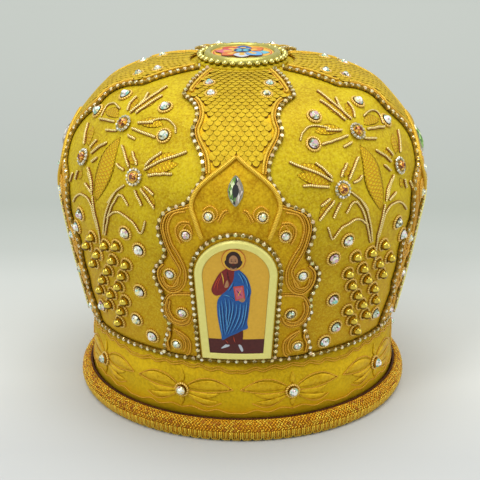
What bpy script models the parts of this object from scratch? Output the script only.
"""Bishop's mitre: a domed crown of gold cloth on a head band, with four embroidered panels.

Units are metres and +Z is up. The origin is the centre of the base, on the surface that the
mitre stands on. The front is towards -Y. Angles are in degrees from the front, positive
towards +X. A place on the crown is given by such an angle and by the distance along the
crown's outline, measured upwards from the waist.
"""

import math

import bmesh
import bpy
import numpy as np
from mathutils import Matrix, Vector
from mathutils.bvhtree import BVHTree

# General sizes
GAP = 0.0003
ROUND_STEPS = 36
MERGE = 0.00001

# Head band and the braid at its foot
BAND_HEIGHT = 0.0502
BAND_BOTTOM_RADIUS = 0.0990
BAND_TOP_RADIUS = 0.0969
BAND_WALL = 0.0030
BRAID_INNER_RADIUS = BAND_BOTTOM_RADIUS + GAP
BRAID_WIDTH = 0.0070
BRAID_HEIGHT = 0.0130
BRAID_FLAT_SHARE = 0.55
BRAID_BENDS = (65, 30, -5, -40)

# Crown
CROWN_WALL = 0.0030
CROWN_OUTLINE = (
    # radius, height
    (0.0968, 0.0505),
    (0.1046, 0.0853),
    (0.1099, 0.1122),
    (0.1134, 0.1351),
    (0.1119, 0.1496),
    (0.1075, 0.1644),
    (0.0979, 0.1796),
    (0.0815, 0.1963),
    (0.0548, 0.2066),
    (0.0270, 0.2104),
    (0.0000, 0.2112),
)
OUTLINE_STEPS = 40
SLOPE_STEP = 0.0010
SHELL_RINGS = (0.0, 0.030, 0.060, 0.084, 0.101, 0.114, 0.127, 0.142, 0.160, 0.184, 0.213)

# Panels, and the chain that follows both their edges
PANELS = (
    # name, angle
    ("front", 0),
    ("right", 90),
    ("back", 180),
    ("left", 270),
)
PANEL_LIFT = 0.0011
PANEL_THICKNESS = 0.0010
PANEL_COLUMNS = 2
PANEL_EDGE = (
    # along, half width to the middle of the chain
    (0.0024, 0.0448),
    (0.0143, 0.0426),
    (0.0237, 0.0405),
    (0.0317, 0.0441),
    (0.0500, 0.0472),
    (0.0568, 0.0492),
    (0.0645, 0.0462),
    (0.0734, 0.0417),
    (0.0881, 0.0455),
    (0.0960, 0.0426),
    (0.1038, 0.0295),
    (0.1129, 0.0229),
    (0.1219, 0.0184),
    (0.1341, 0.0208),
    (0.1456, 0.0260),
    (0.1560, 0.0236),
    (0.1680, 0.0272),
    (0.1748, 0.0338),
    (0.1815, 0.0316),
    (0.1900, 0.0294),
    (0.2125, 0.0206),
)
CHAIN_RADIUS = 0.0014
CHAIN_LIFT = 0.0021
CHAIN_TO_PANEL = 0.0020
BEVEL_RESOLUTION = 2
WAIST_ALONG = 0.0003
WAIST_POINTS = 44

# Icons: an arched frame with a picture plate in it, and a chain round it
ICON_ARCH_RADIUS = 0.0236
ICON_ARCH_ALONG = 0.0617
ICON_FOOT_HALF_WIDTH = 0.0200
ICON_FOOT_ALONG = 0.0030
ICON_BORDER = 0.0046
ICON_LIFT = 0.00265
ICON_FRAME_THICKNESS = 0.0018
ICON_PLATE_THICKNESS = 0.0010
ICON_ARCH_STEPS = 4
ICON_SIDE_STEPS = 2
ICON_FOOT_STEPS = 2
FRAME_CHAIN_RADIUS = 0.0013
FRAME_CHAIN_LIFT = 0.0039
FRAME_CHAIN_OFFSET = 0.0017
FRAME_CHAIN_END_ALONG = 0.0036

# Round picture on top, with its rim and its beads, which lie on the rim's collar
TOP_STEPS = 20
TOP_HEIGHT = 0.2175
TOP_RIM_RADIUS = 0.0242
TOP_PICTURE_RADIUS = 0.0195
TOP_SEAT = 0.0004
TOP_BEVEL = 0.0016
TOP_COLLAR_RADIUS = 0.0285
TOP_COLLAR_HEIGHT = 0.2127
TOP_BEAD_RADIUS = 0.0019
TOP_BEADS_RADIUS = 0.0265
TOP_BEAD_SEAT = 0.0001
TOP_BEAD_POINTS = 20

# Fields between the panels: brooches and grape clusters, mirrored front to back
FIELD_ANGLE = 47.0
FIELDS = (
    # name, turns to the back, turns to the left
    ("front_right", False, False),
    ("back_right", True, False),
    ("back_left", True, True),
    ("front_left", False, True),
)
LEFT_BROOCHES = (
    # degrees away from the field's middle, along
    (0.0, 0.1434),
    (12.6, 0.1152),
    (-13.9, 0.1145),
)
RIGHT_BROOCHES = (
    # degrees away from the field's middle, along
    (0.0, 0.1397),
    (13.6, 0.1115),
    (-13.7, 0.1086),
)
GRAPE_LIFT = 0.0007
GRAPE_THICKNESS = 0.0036
GRAPE_COLUMNS = 2
GRAPE_OUTLINE = (
    # along, half width
    (0.0035, 0.0030),
    (0.0140, 0.0075),
    (0.0270, 0.0150),
    (0.0430, 0.0195),
    (0.0560, 0.0235),
    (0.0650, 0.0210),
    (0.0710, 0.0110),
)

# Stones: a setting with a cut stone in it, as sizes of one eight-sided outline
STONE_SIDES = 8
SEAT_RINGS = (0.0, 0.5, 1.0)
SEAT_REACH = 0.020
BROOCH = {"radius": 0.0053, "rim": 0.0016, "stone": 0.0030, "height": 0.0042, "table": 0.55}
BAND_JEWEL = {"radius": 0.0034, "rim": 0.0014, "stone": 0.0034, "height": 0.0038, "table": 0.50}
MARQUISE = {"radius": 0.0043, "rim": 0.0012, "stone": 0.0043, "height": 0.0029, "table": 0.50}
MARQUISE_LENGTH = 2.0
MARQUISE_ALONG = 0.1127
BAND_JEWEL_COUNT = 9
BAND_JEWEL_HEIGHT = 0.0285
BAND_JEWEL_FIRST_ANGLE = 20.0

# Finishes: base colour, metallic, roughness
FINISHES = {
    "gold_cloth": ((0.72, 0.50, 0.045), 0.35, 0.50),
    "panel_cloth": ((0.68, 0.44, 0.035), 0.35, 0.48),
    "brocade": ((0.62, 0.42, 0.06), 0.30, 0.55),
    "gold_braid": ((0.50, 0.27, 0.02), 0.60, 0.42),
    "crystal_chain": ((0.72, 0.66, 0.52), 0.60, 0.18),
    "frame_enamel": ((0.70, 0.60, 0.20), 0.40, 0.30),
    "picture": ((0.62, 0.40, 0.10), 0.00, 0.30),
    "amber_stone": ((0.55, 0.20, 0.02), 0.10, 0.10),
    "clear_stone": ((0.80, 0.85, 0.82), 0.10, 0.08),
    "gold_bead": ((0.62, 0.38, 0.06), 1.00, 0.25),
}


def clear_scene():
    """Remove every object that the file starts with."""
    for thing in list(bpy.data.objects):
        bpy.data.objects.remove(thing)


def finish(name):
    """The material of that name, made on first use."""
    if name in bpy.data.materials:
        return bpy.data.materials[name]
    colour, metallic, roughness = FINISHES[name]
    made = bpy.data.materials.new(name)
    made.use_nodes = True
    shader = made.node_tree.nodes["Principled BSDF"]
    shader.inputs["Base Color"].default_value = (*colour, 1.0)
    shader.inputs["Metallic"].default_value = metallic
    shader.inputs["Roughness"].default_value = roughness
    made.diffuse_color = (*colour, 1.0)
    return made


def add_piece(name, data, material):
    """Put a mesh or a curve in the mitre's collection as one object."""
    piece = bpy.data.objects.new(name, data)
    data.materials.clear()
    data.materials.append(finish(material))
    bpy.data.collections["Mitre"].objects.link(piece)
    return piece


def mesh_from(bm, name):
    """Turn a bmesh into a mesh."""
    mesh = bpy.data.meshes.new(name)
    bm.to_mesh(mesh)
    bm.free()
    return mesh


# The crown's outline


def smooth_line(points, steps):
    """A Catmull-Rom curve through points, with so many steps in each span."""
    first = 2 * points[0] - points[1]
    last = points[-2] * np.array([-1.0, 1.0])
    held = np.vstack([first, points, last])
    line = []
    for before, start, end, after in zip(held[:-3], held[1:-2], held[2:-1], held[3:]):
        for t in np.linspace(0.0, 1.0, steps, endpoint=False):
            line.append(
                0.5
                * (
                    2 * start
                    + (end - before) * t
                    + (2 * before - 5 * start + 4 * end - after) * t**2
                    + (3 * start - before - 3 * end + after) * t**3
                )
            )
    line.append(points[-1])
    return np.array(line)


LINE = smooth_line(np.array(CROWN_OUTLINE), OUTLINE_STEPS)
LINE_ALONG = np.concatenate([[0.0], np.cumsum(np.hypot(*np.diff(LINE, axis=0).T))])
CROWN_LENGTH = LINE_ALONG[-1]


def outline_at(along):
    """Radius and height of the crown's outline at a distance along it."""
    return np.interp(along, LINE_ALONG, LINE[:, 0]), np.interp(along, LINE_ALONG, LINE[:, 1])


def outward_at(along):
    """The outward direction of the crown's outline there, as radius and height."""
    low_radius, low_height = outline_at(max(along - SLOPE_STEP, 0.0))
    high_radius, high_height = outline_at(min(along + SLOPE_STEP, CROWN_LENGTH))
    rise = Vector((high_radius - low_radius, high_height - low_height)).normalized()
    return rise.y, -rise.x


def on_crown(angle, along, lift=0.0):
    """The point at an angle from the front, a distance up from the waist and off the cloth."""
    radius, height = outline_at(along)
    outward_radius, outward_height = outward_at(along)
    radius += lift * outward_radius
    turn = math.radians(angle)
    return Vector(
        (radius * math.sin(turn), -radius * math.cos(turn), height + lift * outward_height)
    )


def beside(aside, along, lift):
    """The point at a distance to the side of the front's middle line, measured on the cloth."""
    return on_crown(math.degrees(aside / outline_at(along)[0]), along, lift)


# Ways of making a piece


def turned(name, profile, steps, ring, material):
    """A ring or a disc: a profile turned about Z. It runs down its outer side."""
    bm = bmesh.new()
    corners = [bm.verts.new((radius, 0.0, height)) for radius, height in profile]
    for start, end in zip(corners, corners[1:]):
        bm.edges.new((start, end))
    if ring:
        bm.edges.new((corners[-1], corners[0]))
    piece = add_piece(name, mesh_from(bm, name), material)
    screw = piece.modifiers.new("Turn", "SCREW")
    screw.steps = screw.render_steps = steps
    screw.use_merge_vertices = True
    screw.merge_threshold = MERGE
    return piece


def wrapped(name, columns, rows, place, lift, thickness, angle, material):
    """A plate on the crown: a half grid, placed by (aside, along), mirrored and thickened."""
    bm = bmesh.new()
    bmesh.ops.create_grid(bm, x_segments=columns, y_segments=rows, size=1.0)
    for vert in bm.verts:
        column = round((vert.co.x + 1) / 2 * columns)
        row = round((vert.co.y + 1) / 2 * rows)
        aside, along = place(column, row)
        vert.co = beside(aside, along, lift)
    bmesh.ops.remove_doubles(bm, verts=bm.verts, dist=MERGE)
    piece = add_piece(name, mesh_from(bm, name), material)
    mirror = piece.modifiers.new("Other half", "MIRROR")
    mirror.merge_threshold = MERGE
    wall = piece.modifiers.new("Thickness", "SOLIDIFY")
    wall.thickness = thickness
    wall.offset = 1.0
    piece.rotation_euler.z = math.radians(angle)
    return piece


def tube(name, points, radius, closed, material):
    """A chain's outer form: a round tube through its points."""
    curve = bpy.data.curves.new(name, "CURVE")
    curve.dimensions = "3D"
    curve.bevel_depth = radius
    curve.bevel_resolution = BEVEL_RESOLUTION
    curve.use_fill_caps = True
    spline = curve.splines.new("POLY")
    spline.points.add(len(points) - 1)
    for spot, point in zip(spline.points, points):
        spot.co = (*point, 1.0)
    spline.use_cyclic_u = closed
    return add_piece(name, curve, material)


def stone(name, carrier, point, outward, up, sizes, length, material):
    """A cut stone in its setting, seated on the carrier: a rim, eight facets and a table."""
    bm = bmesh.new()
    bmesh.ops.create_cone(
        bm,
        cap_ends=True,
        segments=STONE_SIDES,
        radius1=sizes["radius"],
        radius2=sizes["radius"],
        depth=sizes["rim"],
        matrix=Matrix.Translation((0.0, 0.0, sizes["rim"] / 2)),
    )
    if length > 1.0:
        for vert in bm.verts:
            vert.co.x *= abs(vert.co.x) / sizes["radius"]
            vert.co.y *= length
    top = max(bm.faces, key=lambda face: face.calc_center_median().z)
    if sizes["stone"] < sizes["radius"]:
        top = raised(bm, top, 0.0, sizes["stone"] / sizes["radius"])
    raised(bm, top, sizes["height"] - sizes["rim"], sizes["table"])
    piece = add_piece(name, mesh_from(bm, name), material)
    piece.matrix_world = seat(carrier, point, outward, up, sizes["radius"])
    return piece


def raised(bm, face, height, scale):
    """Extrude a level face upwards, scale it about its middle and return the new one."""
    top = bmesh.ops.extrude_discrete_faces(bm, faces=[face])["faces"][0]
    middle = top.calc_center_median()
    for vert in top.verts:
        vert.co = middle + (vert.co - middle) * scale + Vector((0.0, 0.0, height))
    return top


def seat(carrier, point, outward, up, reach):
    """The place of a flat-backed piece: one gap above the highest point of its carrier."""
    bpy.context.view_layer.update()
    depsgraph = bpy.context.evaluated_depsgraph_get()
    surface = BVHTree.FromObject(carrier, depsgraph)
    to_local = carrier.matrix_world.inverted()
    across = up.cross(outward).normalized()
    upright = outward.cross(across)
    depths = []
    for ring in SEAT_RINGS:
        for turn in range(STONE_SIDES):
            bend = math.tau * turn / STONE_SIDES
            spot = point + (across * math.cos(bend) + upright * math.sin(bend)) * reach * ring
            start = to_local @ (spot + outward * SEAT_REACH)
            hit = surface.ray_cast(start, to_local.to_3x3() @ -outward)
            if hit[0] is not None:
                depths.append(hit[3])
    base = point + outward * (SEAT_REACH - min(depths) + GAP)
    axes = Matrix((across, upright, outward)).transposed().to_4x4()
    return Matrix.Translation(base) @ axes


# The pieces


def make_band():
    """The upright wall round the head."""
    inner_top = BAND_TOP_RADIUS - BAND_WALL
    inner_bottom = BAND_BOTTOM_RADIUS - BAND_WALL
    profile = (
        (BAND_TOP_RADIUS, BAND_HEIGHT),
        (BAND_BOTTOM_RADIUS, 0.0),
        (inner_bottom, 0.0),
        (inner_top, BAND_HEIGHT),
    )
    return turned("head_band", profile, ROUND_STEPS, True, "brocade")


def make_braid():
    """The braid round the foot: flat towards the band and below, round outside."""
    centre = BRAID_HEIGHT / 2
    flat = BRAID_WIDTH * BRAID_FLAT_SHARE
    profile = [(BRAID_INNER_RADIUS, BRAID_HEIGHT)]
    for bend in BRAID_BENDS:
        turn = math.radians(bend)
        profile.append(
            (
                BRAID_INNER_RADIUS + flat + (BRAID_WIDTH - flat) * math.cos(turn),
                centre + centre * math.sin(turn),
            )
        )
    profile.append((BRAID_INNER_RADIUS + flat, 0.0))
    profile.append((BRAID_INNER_RADIUS, 0.0))
    return turned("base_braid", profile, ROUND_STEPS, True, "gold_braid")


def make_crown():
    """The domed crown, a wall of stiffened cloth that is open below."""
    profile = [outline_at(along) for along in (*SHELL_RINGS, CROWN_LENGTH)]
    profile[-1] = (0.0, profile[-1][1])
    piece = turned("crown_shell", profile[::-1], ROUND_STEPS, False, "gold_cloth")
    wall = piece.modifiers.new("Wall", "SOLIDIFY")
    wall.thickness = CROWN_WALL
    wall.offset = -1.0
    return piece


def panel_border():
    """The panel's edge as (aside, along): the chain's line moved in, its ends kept level."""
    line = [Vector((half_width, along)) for along, half_width in PANEL_EDGE]
    border = []
    for number, here in enumerate(line):
        near = line[max(number - 1, 0) : number + 2]
        runs = [(end - start).normalized() for start, end in zip(near, near[1:])]
        run = (runs[0] + runs[-1]).normalized()
        inward = Vector((-run.y, run.x))
        moved = here + inward * CHAIN_TO_PANEL / run.dot(runs[0])
        if len(runs) == 1:
            moved += run * (here.y - moved.y) / run.y
        border.append(moved)
    return border


def make_panel(name, angle):
    """One long embroidered pad with a waved outline."""
    border = panel_border()

    def place(column, row):
        middle = Vector((0.0, PANEL_EDGE[row][0]))
        return middle.lerp(border[row], column / PANEL_COLUMNS)

    return wrapped(
        f"panel_{name}",
        PANEL_COLUMNS,
        len(PANEL_EDGE) - 1,
        place,
        PANEL_LIFT,
        PANEL_THICKNESS,
        angle,
        "panel_cloth",
    )


def make_edge_chain(name, angle, side):
    """The rhinestone chain along one edge of a panel."""
    turn = Matrix.Rotation(math.radians(angle), 3, "Z")
    points = [
        turn @ beside(side * half_width, along, CHAIN_LIFT) for along, half_width in PANEL_EDGE
    ]
    tube(name, points, CHAIN_RADIUS, False, "crystal_chain")


def make_waist_chain():
    """The rhinestone chain between the band and the crown."""
    points = [
        on_crown(360.0 * step / WAIST_POINTS, WAIST_ALONG, CHAIN_LIFT)
        for step in range(WAIST_POINTS)
    ]
    tube("waist_chain", points, CHAIN_RADIUS, True, "crystal_chain")


def arch_half(inset):
    """Half of the icon's outline, from the middle of its arch to the middle of its foot."""
    radius = ICON_ARCH_RADIUS - inset
    foot = (ICON_FOOT_HALF_WIDTH - inset, ICON_FOOT_ALONG + inset)
    points = []
    for step in range(ICON_ARCH_STEPS):
        turn = math.radians(90.0 * step / ICON_ARCH_STEPS)
        points.append((radius * math.sin(turn), ICON_ARCH_ALONG + radius * math.cos(turn)))
    for step in range(ICON_SIDE_STEPS):
        share = step / ICON_SIDE_STEPS
        points.append(
            (
                radius + (foot[0] - radius) * share,
                ICON_ARCH_ALONG + (foot[1] - ICON_ARCH_ALONG) * share,
            )
        )
    for step in range(ICON_FOOT_STEPS + 1):
        points.append((foot[0] * (1 - step / ICON_FOOT_STEPS), foot[1]))
    return points


def make_icon_frame(name, angle):
    """The arched rim of a picture, bent round the crown."""
    inner, outer = arch_half(ICON_BORDER), arch_half(0.0)

    def place(column, row):
        return outer[column] if row else inner[column]

    wrapped(
        f"icon_frame_{name}",
        len(inner) - 1,
        1,
        place,
        ICON_LIFT,
        ICON_FRAME_THICKNESS,
        angle,
        "frame_enamel",
    )


def make_icon_plate(name, angle):
    """The picture in its frame, a thin plate bent the same way."""
    edge = arch_half(ICON_BORDER + GAP)[: ICON_ARCH_STEPS + ICON_SIDE_STEPS + 1][::-1]
    columns = 2

    def place(column, row):
        half_width, along = edge[row]
        return half_width * column / columns, along

    wrapped(
        f"icon_plate_{name}",
        columns,
        len(edge) - 1,
        place,
        ICON_LIFT,
        ICON_PLATE_THICKNESS,
        angle,
        "picture",
    )


def make_frame_chain(name, angle):
    """The rhinestone chain round an icon, from the waist over the arch and back."""
    turn = Matrix.Rotation(math.radians(angle), 3, "Z")
    half = arch_half(-FRAME_CHAIN_OFFSET)[: ICON_ARCH_STEPS + ICON_SIDE_STEPS + 1]
    half[-1] = (half[-1][0], FRAME_CHAIN_END_ALONG)
    route = [(-aside, along) for aside, along in half[:0:-1]] + half
    points = [turn @ beside(aside, along, FRAME_CHAIN_LIFT) for aside, along in route]
    tube(f"frame_chain_{name}", points, FRAME_CHAIN_RADIUS, False, "crystal_chain")


def make_top():
    """The round picture on top of the crown, with its rim and its ring of beads."""

    widest = int(np.argmax(LINE[:, 0]))

    def cloth(radius):
        dome = LINE[widest:][::-1]
        return float(np.interp(radius, dome[:, 0], dome[:, 1])) + TOP_SEAT

    inner = TOP_PICTURE_RADIUS + GAP
    rim = (
        (inner + TOP_BEVEL / 2, TOP_HEIGHT),
        (TOP_RIM_RADIUS - TOP_BEVEL, TOP_HEIGHT),
        (TOP_RIM_RADIUS, TOP_HEIGHT - 2 * TOP_BEVEL),
        (TOP_RIM_RADIUS, TOP_COLLAR_HEIGHT),
        (TOP_COLLAR_RADIUS, TOP_COLLAR_HEIGHT),
        (TOP_COLLAR_RADIUS, cloth(TOP_COLLAR_RADIUS)),
        (inner, cloth(inner)),
        (inner, TOP_HEIGHT - TOP_BEVEL / 2),
    )
    turned("top_rim", rim, TOP_STEPS, True, "frame_enamel")
    disc = (
        (0.0, TOP_HEIGHT - TOP_BEVEL / 2),
        (TOP_PICTURE_RADIUS, TOP_HEIGHT - TOP_BEVEL),
        (TOP_PICTURE_RADIUS, cloth(0.0)),
        (0.0, cloth(0.0)),
    )
    turned("top_picture", disc, TOP_STEPS, False, "picture")
    height = TOP_COLLAR_HEIGHT + TOP_BEAD_SEAT + TOP_BEAD_RADIUS
    points = []
    for step in range(TOP_BEAD_POINTS):
        turn = math.tau * step / TOP_BEAD_POINTS
        points.append(
            (TOP_BEADS_RADIUS * math.sin(turn), -TOP_BEADS_RADIUS * math.cos(turn), height)
        )
    tube("top_beads", points, TOP_BEAD_RADIUS, True, "gold_bead")


def in_field(away, back, left):
    """The angle of a place in a field, given in degrees away from the field's middle."""
    angle = FIELD_ANGLE + away
    if back:
        angle = 180.0 - angle
    return -angle if left else angle


def crown_axes(angle, along):
    """A point on the crown with its outward and its upward direction."""
    point = on_crown(angle, along)
    outward = (on_crown(angle, along, SLOPE_STEP) - point).normalized()
    above = on_crown(angle, along + SLOPE_STEP)
    return point, outward, (above - point).normalized()


def make_field(name, back, left, crown):
    """The three brooches and the grape cluster between two panels."""
    brooches = LEFT_BROOCHES if left else RIGHT_BROOCHES
    for number, (away, along) in enumerate(brooches, start=1):
        point, outward, up = crown_axes(in_field(away, back, left), along)
        label = f"brooch_{name}_{number}"
        stone(label, crown, point, outward, up, BROOCH, 1.0, "amber_stone")

    def place(column, row):
        along, half_width = GRAPE_OUTLINE[row]
        return half_width * column / GRAPE_COLUMNS, along

    wrapped(
        f"grapes_{name}",
        GRAPE_COLUMNS,
        len(GRAPE_OUTLINE) - 1,
        place,
        GRAPE_LIFT,
        GRAPE_THICKNESS,
        in_field(0.0, back, left),
        "gold_bead",
    )


def make_band_jewels(band):
    """The round crystals on the head band, evenly spaced, none at the front's middle."""
    share = BAND_JEWEL_HEIGHT / BAND_HEIGHT
    radius = BAND_BOTTOM_RADIUS + (BAND_TOP_RADIUS - BAND_BOTTOM_RADIUS) * share
    lean = math.atan2(BAND_BOTTOM_RADIUS - BAND_TOP_RADIUS, BAND_HEIGHT)
    for number in range(BAND_JEWEL_COUNT):
        angle = BAND_JEWEL_FIRST_ANGLE + 360.0 * number / BAND_JEWEL_COUNT
        turn = Matrix.Rotation(math.radians(angle), 3, "Z")
        point = turn @ Vector((0.0, -radius, BAND_JEWEL_HEIGHT))
        outward = turn @ Vector((0.0, -math.cos(lean), math.sin(lean)))
        up = turn @ Vector((0.0, math.sin(lean), math.cos(lean)))
        label = f"band_jewel_{number + 1}"
        stone(label, band, point, outward, up, BAND_JEWEL, 1.0, "clear_stone")


def make_mitre():
    """Build every piece, from the base upwards."""
    bpy.context.scene.collection.children.link(bpy.data.collections.new("Mitre"))
    band = make_band()
    make_braid()
    crown = make_crown()
    make_waist_chain()
    for name, angle in PANELS:
        panel = make_panel(name, angle)
        make_edge_chain(f"edge_chain_{name}_a", angle, -1)
        make_edge_chain(f"edge_chain_{name}_b", angle, 1)
        make_icon_frame(name, angle)
        make_icon_plate(name, angle)
        make_frame_chain(name, angle)
        point, outward, up = crown_axes(angle, MARQUISE_ALONG)
        label = f"marquise_{name}"
        stone(label, panel, point, outward, up, MARQUISE, MARQUISE_LENGTH, "clear_stone")
    make_top()
    for name, back, left in FIELDS:
        make_field(name, back, left, crown)
    make_band_jewels(band)


clear_scene()
make_mitre()
